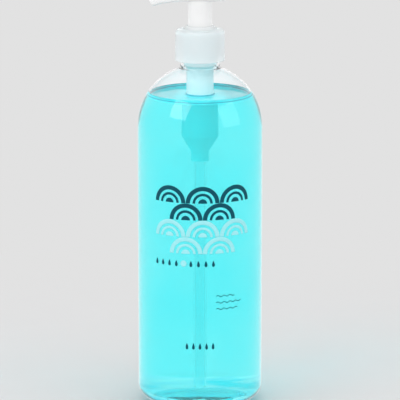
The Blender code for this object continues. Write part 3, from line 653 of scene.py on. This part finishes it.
natural_plastic("natural_collar", collar, pale=(0.97, 0.98, 0.985), shade=(0.92, 0.945, 0.955),
                clearness=0.50, bending=1.25, roughness=0.32)
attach(collar, "pump_core")
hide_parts("lock_collar")


# Closure: a screw cap of natural polypropylene. Its plate presses the housing's flange onto the neck,
# and its thread runs between the turns of the neck's.
CLOSURE_WALL = 0.0018
CLOSURE_TAPER = 0.0002
CLOSURE_PLATE = 0.0015
CLOSURE_CORNER_DROP = 0.00195
CLOSURE_CORNER_WIDTH = 0.0015
CLOSURE_CORNER_STEPS = 10
CLOSURE_RIM_HEIGHT = 0.0007
CLOSURE_FOOT_CHAMFER = 0.00027

closure_low, closure_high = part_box("closure")
rim_z = closure_high.z
closure_top_z = rim_z - CLOSURE_RIM_HEIGHT
closure_plate_z = closure_top_z - CLOSURE_PLATE
closure_foot_radius = closure_high.x
closure_bore = closure_foot_radius - CLOSURE_WALL
closure_top_radius = closure_foot_radius - CLOSURE_TAPER
hole_radius = collar_radius + SEAT_GAP
recess_radius = rim_radius + SEAT_GAP
closure = turned("closure_cap", [
    (closure_bore, closure_low.z), (closure_bore, closure_plate_z), (hole_radius, closure_plate_z),
    (hole_radius, closure_top_z), (recess_radius, closure_top_z), (recess_radius, rim_z)]
    + arc((closure_top_radius - CLOSURE_CORNER_WIDTH, closure_top_z - CLOSURE_CORNER_DROP),
          CLOSURE_CORNER_WIDTH, CLOSURE_CORNER_DROP, 90.0, 0.0, CLOSURE_CORNER_STEPS)
    + [(closure_foot_radius, closure_low.z + CLOSURE_FOOT_CHAMFER),
       (closure_foot_radius - CLOSURE_FOOT_CHAMFER, closure_low.z)], PUMP_STEPS, closed=True)
closure_thread = ridge("closure_thread", closure_bore + THREAD_SINK, closure_bore - RIDGE_HEIGHT,
                       thread_z + 0.5 * THREAD_PITCH)
natural_plastic("natural_cap", closure, closure_thread, pale=(0.95, 0.98, 0.99),
                shade=(0.91, 0.965, 0.98), clearness=0.55, bending=1.15, roughness=0.32)
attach(closure, "closure")
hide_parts("closure")
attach(closure_thread, "closure")


# Pump head: one moulding of natural polypropylene, with the nozzle to the left, the finger wing to
# the right, and a skirt below that slides in the collar. It is hollow around the stem.
SKIRT_SHOWN = 0.0155
SKIRT_OVERLAP = 0.0030
HEAD_OVERHANG = 0.00175
HEAD_HEIGHT = 0.0096
HEAD_CORNER_POWER = 3.0
NOZZLE_REACH = 0.0327
NOZZLE_TIP_HALF_WIDTH = 0.0035
NOZZLE_TIP_TOP = 0.0022
NOZZLE_DROP = 0.0040
NOZZLE_DROP_POWER = 2.6
NOZZLE_TOP_POWER = 1.5
NOZZLE_SWELL_SHARE = 0.62
NOZZLE_PAST_TIP = 1.15
NOZZLE_CUT_ROOM = 1.2
NOZZLE_FACE_LEAN = math.radians(25.0)
NOZZLE_BORE_RADIUS = 0.0016
WING_REACH = 0.0178
WING_RISE = 0.00155
WING_RISE_POWER = 1.5
WING_OUTLINE_POWERS = (2.6, 0.45)
WING_END_POWER = 14.0
WING_END_ANGLE = math.radians(82.0)
WING_END_SLIMMING = 0.5
WING_POCKET_WALL = 0.0022
WING_POCKET_WIDTH = 0.0080
WING_END_WALL = 0.0033
POCKET_ROUND = 0.0008
BOSS_WALL = 0.0010
BOSS_ROOM = 0.0014
ROOT_RISE = 0.0010
CHANNEL_RISE = 0.0036
RISER_ABOVE_CHANNEL = 0.00056
CHANNEL_START_SHARE = 0.4
CHANNEL_REACH_SHARE = 1.1
HEAD_POINTS = 64
NOZZLE_SECTIONS = 28
WING_SECTIONS = 22
HEAD_ROUND = 0.0003

head_z = collar_top_z + SKIRT_SHOWN
skirt_foot_z = collar_top_z - SKIRT_OVERLAP
head_half_width = skirt_radius + HEAD_OVERHANG
tip_height = NOZZLE_DROP + NOZZLE_TIP_TOP
before_tip = 1.0 - NOZZLE_CUT_ROOM * tip_height * math.tan(NOZZLE_FACE_LEAN) / NOZZLE_REACH


def nozzle_section(share):
    """Place along X, half width, underside and top of the nozzle, from the hub (0) to its tip (1)."""
    swell = 0.5 * (1.0 + math.cos(math.pi * min(1.0, share / NOZZLE_SWELL_SHARE)))
    half_width = NOZZLE_TIP_HALF_WIDTH + (head_half_width - NOZZLE_TIP_HALF_WIDTH) * swell
    underside = -NOZZLE_DROP * share ** NOZZLE_DROP_POWER
    top = HEAD_HEIGHT - (HEAD_HEIGHT - NOZZLE_TIP_TOP) * share ** NOZZLE_TOP_POWER
    return -share * NOZZLE_REACH, half_width, underside, top


def wing_section(share):
    """Place along X, half width, underside and top of the wing, from the hub (0) to its end (1)."""
    taper_power, corner_power = WING_OUTLINE_POWERS
    half_width = head_half_width * (1.0 - share ** taper_power) ** corner_power
    end_round = 1.0 - (1.0 - share ** WING_END_POWER) ** 0.5
    top = HEAD_HEIGHT + WING_RISE * share ** WING_RISE_POWER
    half_height = 0.5 * top * (1.0 - WING_END_SLIMMING * end_round)
    return share * WING_REACH, half_width, 0.5 * top - half_height, 0.5 * top + half_height


sections = [nozzle_section(NOZZLE_PAST_TIP)]
sections += [nozzle_section(before_tip * (1.0 - step / NOZZLE_SECTIONS))
             for step in range(NOZZLE_SECTIONS)]
sections += [wing_section(math.sin(WING_END_ANGLE * step / WING_SECTIONS))
             for step in range(WING_SECTIONS + 1)]
shell = bmesh.new()
ring = bmesh.ops.create_circle(shell, segments=HEAD_POINTS, radius=1.0)["verts"]
shell.transform(Matrix.Rotation(math.radians(90.0), 4, "Y"))
for point in ring:
    point.co.y = math.copysign(abs(point.co.y) ** (2.0 / HEAD_CORNER_POWER), point.co.y)
    point.co.z = math.copysign(abs(point.co.z) ** (2.0 / HEAD_CORNER_POWER), point.co.z)
rim = shell.edges[:]
size = Vector((1.0, 1.0, 1.0))
centre = Vector((0.0, 0.0, 0.0))
for index, (x, half_width, underside, top) in enumerate(sections):
    new_size = Vector((1.0, half_width, 0.5 * (top - underside)))
    new_centre = Vector((x, 0.0, head_z + 0.5 * (top + underside)))
    if index:
        grown = bmesh.ops.extrude_edge_only(shell, edges=rim)["geom"]
        ring = [item for item in grown if isinstance(item, bmesh.types.BMVert)]
        rim = [item for item in grown if isinstance(item, bmesh.types.BMEdge)
               and item.verts[0] in ring and item.verts[1] in ring]
    growth = Vector((1.0, new_size.y / size.y, new_size.z / size.z))
    bmesh.ops.scale(shell, vec=growth, verts=ring, space=Matrix.Translation(-centre))
    bmesh.ops.translate(shell, vec=new_centre - centre, verts=ring)
    size, centre = new_size, new_centre
bmesh.ops.holes_fill(shell, edges=[edge for edge in shell.edges if edge.is_boundary], sides=0)
tip_lip = Vector((-NOZZLE_REACH, 0.0, head_z + NOZZLE_TIP_TOP))
outward = Vector((-math.cos(NOZZLE_FACE_LEAN), 0.0, -math.sin(NOZZLE_FACE_LEAN)))
cut = bmesh.ops.bisect_plane(shell, geom=shell.verts[:] + shell.edges[:] + shell.faces[:],
                             plane_co=tip_lip, plane_no=outward, clear_outer=True)
tip_rim = [item for item in cut["geom_cut"] if isinstance(item, bmesh.types.BMEdge)]
bmesh.ops.holes_fill(shell, edges=tip_rim, sides=0)
bmesh.ops.bevel(shell, geom=tip_rim, offset=HEAD_ROUND, segments=ROUND_SEGMENTS, profile=0.5,
                affect="EDGES", material=-1, clamp_overlap=True)
bmesh.ops.recalc_face_normals(shell, faces=shell.faces[:])
head = as_piece(shell, "head_moulding")

pocket_start = skirt_radius + WING_POCKET_WALL
pocket_end = WING_REACH - WING_END_WALL
pocket_top = HEAD_HEIGHT - WING_POCKET_WALL
pocket = bmesh.new()
bmesh.ops.create_cube(pocket, size=1.0)
pocket.transform(Matrix.Translation((0.5 * (pocket_start + pocket_end), 0.0, head_z))
                 @ Matrix.Diagonal((pocket_end - pocket_start, WING_POCKET_WIDTH, 2.0 * pocket_top, 1.0)))
bmesh.ops.bevel(pocket, geom=pocket.edges[:], offset=POCKET_ROUND, segments=ROUND_SEGMENTS,
                profile=0.5, affect="EDGES", material=-1)
root_z = head_z + ROOT_RISE
skirt = turned("skirt", [(0.0, root_z), (skirt_radius, root_z), (skirt_radius, skirt_foot_z + EDGE_ROUND),
                         (skirt_radius - EDGE_ROUND, skirt_foot_z), (0.0, skirt_foot_z)], PUMP_STEPS)
boss_bore = STEM_RADIUS + SEAT_GAP
boss_radius = boss_bore + BOSS_WALL
boss_foot_z = guide_top_z + stroke + BOSS_ROOM
channel_z = head_z + CHANNEL_RISE
riser_radius = NOZZLE_BORE_RADIUS + BOSS_WALL
riser_top_z = channel_z + RISER_ABOVE_CHANNEL
below_z = skirt_foot_z - SKIRT_WALL
hollow = turned("hollow", [
    (0.0, riser_top_z), (riser_radius, riser_top_z), (riser_radius, root_z), (boss_bore, root_z),
    (boss_bore, boss_foot_z), (boss_radius, boss_foot_z), (boss_radius, head_z), (skirt_bore, head_z),
    (skirt_bore, below_z), (0.0, below_z)], PUMP_STEPS)
tip_z = head_z - 0.5 * (NOZZLE_DROP - NOZZLE_TIP_TOP)
channel_start = CHANNEL_START_SHARE * NOZZLE_BORE_RADIUS
run = CHANNEL_REACH_SHARE * NOZZLE_REACH + channel_start
slope = math.atan2(channel_z - tip_z, run)
channel = rod_cutter("channel", NOZZLE_BORE_RADIUS, run / math.cos(slope), math.radians(90.0) - slope,
                     (channel_start - 0.5 * run, 0.0, 0.5 * (channel_z + tip_z)))
head = carved(head, (as_piece(pocket, "pocket"), "DIFFERENCE"), (skirt, "UNION"),
              (hollow, "DIFFERENCE"), (channel, "DIFFERENCE"))
natural_plastic("natural_head", head, pale=(0.91, 0.91, 0.91), shade=(0.86, 0.865, 0.865),
                clearness=0.10, bending=1.49, roughness=0.30)
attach(head, "head")
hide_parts("pump_head")


# Print: ink screened on the outside of the bottle, in a dark and a pale colour. Rows of plain scallops
# run across the front, with small drops under them and three fine ripples on the right.
INK_THICKNESS = 0.00002
PRINT_CELL = 0.0006
DARK_INK = (0.003, 0.085, 0.125)
PALE_INK = (0.42, 0.95, 1.0)
SCALLOP_RADIUS = 0.0109
SCALLOP_BANDS = ((0.74, 0.99), (0.44, 0.59), (0.0, 0.26))
SCALLOPS_LEFT = -0.0310
DARK_ROWS = ((0.1386, 0, 3), (0.1277, 1, 2))
PALE_ROWS = ((0.1168, 0, 3), (0.1059, 1, 2))
DROP_CELLS = 10
DROP_COUNT = 9
DROP_STEP = 0.0048
DROPS_LEFT = -0.0298
DROPS_Z = 0.0995
DROP_SIZE = (0.0013, 0.0021)
DROP_SHARPNESS = 0.7
DOT_PLACE = 4
DOT_SIZE = (0.0020, 0.0020)
LOW_DROP_COUNT = 5
LOW_DROP_STEP = 0.0042
LOW_DROPS_LEFT = -0.0084
LOW_DROPS_Z = 0.0455
LOW_DROP_SIZE = (0.0012, 0.0022)
RIPPLES = ((0.0780, 0.0126), (0.0738, 0.0176), (0.0696, 0.0150))
RIPPLE_LEFT = 0.0105
RIPPLE_HEIGHT = 0.0005
RIPPLE_WAVE = 0.0042
RIPPLE_HALF_WIDTH = 0.00024


def print_band(shape, across, up, inner, outer):
    """Half a ring of ink, standing on its ends."""
    rings = round((outer - inner) / PRINT_CELL)
    steps = round(math.pi * outer / PRINT_CELL)
    grid = bmesh.ops.create_grid(shape, x_segments=steps, y_segments=rings, size=0.5)["verts"]
    for point in grid:
        turn = math.pi * (0.5 - point.co.x)
        radius = inner + (point.co.y + 0.5) * (outer - inner)
        point.co = Vector((across + radius * math.cos(turn), up + radius * math.sin(turn), 0.0))


def print_scallops(shape, rows):
    """Rows of scallops, each given by its height, the first one's place in steps of half, and how many."""
    for up, offset, count in rows:
        for index in range(count):
            across = SCALLOPS_LEFT + SCALLOP_RADIUS * (1 + offset + 2 * index)
            for inner, outer in SCALLOP_BANDS:
                print_band(shape, across, up, inner * SCALLOP_RADIUS, outer * SCALLOP_RADIUS)


def print_ripple(shape, up, length):
    """A fine wavy stroke, from the ripples' left end."""
    steps = round(length / PRINT_CELL)
    grid = bmesh.ops.create_grid(shape, x_segments=steps, y_segments=1, size=0.5)["verts"]
    for point in grid:
        along = (point.co.x + 0.5) * length
        middle = up + RIPPLE_HEIGHT * math.sin(math.tau * along / RIPPLE_WAVE)
        point.co = Vector((RIPPLE_LEFT + along, middle + 2.0 * point.co.y * RIPPLE_HALF_WIDTH, 0.0))


def print_drop(shape, across, up, half_sizes, sharpness):
    """A drop of ink, drawn out to a point at the top, or a plain dot with a sharpness of 0."""
    half_width, half_height = half_sizes
    grid = bmesh.ops.create_grid(shape, x_segments=DROP_CELLS, y_segments=DROP_CELLS, size=1.0)["verts"]
    for point in grid:
        x, y = point.co.x, point.co.y
        round_x = x * math.sqrt(1.0 - 0.5 * y * y)
        round_y = y * math.sqrt(1.0 - 0.5 * x * x)
        narrow = max(0.0, 0.5 * (1.0 - round_y)) ** sharpness
        point.co = Vector((across + half_width * round_x * narrow, up + half_height * round_y, 0.0))


def printed(shape, name):
    """Lays a flat print, drawn in (width, height), around the bottle's front."""
    radius = solid_radius - INK_THICKNESS
    for point in shape.verts:
        angle = point.co.x / radius
        point.co = Vector((radius * math.sin(angle), -radius * math.cos(angle), point.co.y))
    bmesh.ops.remove_doubles(shape, verts=shape.verts[:], dist=WELD)
    for face in shape.faces:
        middle = face.calc_center_median()
        face.normal_update()
        if face.normal.dot(Vector((middle.x, middle.y, 0.0))) < 0.0:
            face.normal_flip()
    return as_piece(shape, name)


dark_print = bmesh.new()
print_scallops(dark_print, DARK_ROWS)
for index in range(DROP_COUNT):
    if index != DOT_PLACE:
        print_drop(dark_print, DROPS_LEFT + DROP_STEP * index, DROPS_Z, DROP_SIZE, DROP_SHARPNESS)
for index in range(LOW_DROP_COUNT):
    print_drop(dark_print, LOW_DROPS_LEFT + LOW_DROP_STEP * index, LOW_DROPS_Z, LOW_DROP_SIZE,
               DROP_SHARPNESS)
for up, length in RIPPLES:
    print_ripple(dark_print, up, length)
dark_motif = printed(dark_print, "print_dark_scallops")

pale_print = bmesh.new()
print_scallops(pale_print, PALE_ROWS)
print_drop(pale_print, DROPS_LEFT + DROP_STEP * DOT_PLACE, DROPS_Z, DOT_SIZE, 0.0)
pale_motif = printed(pale_print, "print_pale_scallops")

INK_SHADE = 0.86
INK_GRAIN_SCALE = 1600.0
INK_GRAIN_DEPTH = 0.000004


def ink(name, piece, colour, opacity):
    """Screen-printed ink: flat, faintly uneven, and a little see-through where it is pale."""
    film = piece.modifiers.new("film", "SOLIDIFY")
    film.thickness = INK_THICKNESS
    film.offset = -1.0
    start = finish_of(name, piece)
    uneven = start.cloud(INK_GRAIN_SCALE, detail=3.0)
    full_colour = [INK_SHADE * part for part in colour]
    shader = start.node("BsdfPrincipled", {
        "Base Color": start.blend(uneven, (*full_colour, 1.0), (*colour, 1.0)),
        "Roughness": 0.45 + 0.2 * uneven,
        "Specular IOR Level": 0.12,
        "Alpha": opacity,
        "Normal": start.relief(uneven, INK_GRAIN_DEPTH)})
    start.node("OutputMaterial", {"Surface": shader})


ink("print_dark", dark_motif, DARK_INK, opacity=0.95)
ink("print_pale", pale_motif, PALE_INK, opacity=0.85)
for motif, name in ((dark_motif, "print_dark"), (pale_motif, "print_pale")):
    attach(motif, "bottle")


# Floor: a plain pale sheet that goes over into pale surroundings away from the bottle. Mirrors and
# clear pieces see both as white, and the surroundings light the rest softly.
FLOOR_RADIUS = 12.0
FLOOR_FACETS = 96
FLOOR_COLOUR = (0.64, 0.64, 0.645, 1.0)
FLOOR_PALE_COLOUR = (0.66, 0.66, 0.665, 1.0)
FLOOR_CLOUD_SCALE = 30.0
WHITE = (1.0, 1.0, 1.0, 1.0)
BACKDROP = 0.76
FADE_START = 0.10
FADE_END = 0.42
AMBIENT = 1.0

sheet = bmesh.new()
bmesh.ops.create_circle(sheet, cap_ends=True, cap_tris=False, segments=FLOOR_FACETS,
                        radius=FLOOR_RADIUS)
floor = as_piece(sheet, "floor")


def from_eye(start):
    """1 for a ray straight from the eye."""
    return start.node("LightPath", {}, output="Is Camera Ray")


def from_gloss(start):
    """1 for a ray by way of a mirror or a clear piece."""
    return start.node("Clamp", {0: start.node("LightPath", {}, output="Is Glossy Ray")
                                + start.node("LightPath", {}, output="Is Transmission Ray")})


ground = finish_of("pale_floor", floor)
distance = ground.node("VectorMath", {0: ground.place()}, output="Value", operation="LENGTH")
fade = ground.node("MapRange", {"Value": distance, "From Min": FADE_START, "From Max": FADE_END},
                   interpolation_type="SMOOTHSTEP")
matte = ground.node("BsdfPrincipled", {
    "Base Color": ground.blend(ground.cloud(FLOOR_CLOUD_SCALE), FLOOR_COLOUR, FLOOR_PALE_COLOUR),
    "Roughness": 0.7})
gloss = from_gloss(ground)
white = ground.node("Emission", {"Color": WHITE, "Strength": BACKDROP + (1.0 - BACKDROP) * gloss})
ground_shader = ground.node("MixShader", {0: fade * from_eye(ground) + gloss, 1: matte, 2: white})
ground.node("OutputMaterial", {"Surface": ground_shader})

world = bpy.data.worlds.new("studio")
world.use_nodes = True
world.node_tree.nodes.clear()
bpy.context.scene.world = world
sky = Socket(world.node_tree)
strength = AMBIENT + (BACKDROP - AMBIENT) * from_eye(sky) + (1.0 - AMBIENT) * from_gloss(sky)
sky_shader = sky.node("Background", {"Color": WHITE, "Strength": strength})
sky.node("OutputWorld", {"Surface": sky_shader})


# Lamps: two large square soft boxes of a photo studio. The brighter one stands to the upper left of
# the camera, and the weaker one fills the shadows from the right.
def lamp(name, place, size, power):
    """A soft box aimed at the bottle's middle."""
    data = bpy.data.lights.new(name, "AREA")
    data.size = size
    data.energy = power
    box = bpy.data.objects.new(name, data)
    box.location = place
    box.rotation_euler = (VIEW_TARGET - Vector(place)).to_track_quat("-Z", "Y").to_euler()
    bpy.context.scene.collection.objects.link(box)


lamp("key_lamp", place=(-0.9, -0.9, 1.1), size=0.9, power=6.0)
lamp("fill_lamp", place=(1.1, -0.6, 0.7), size=0.9, power=2.4)
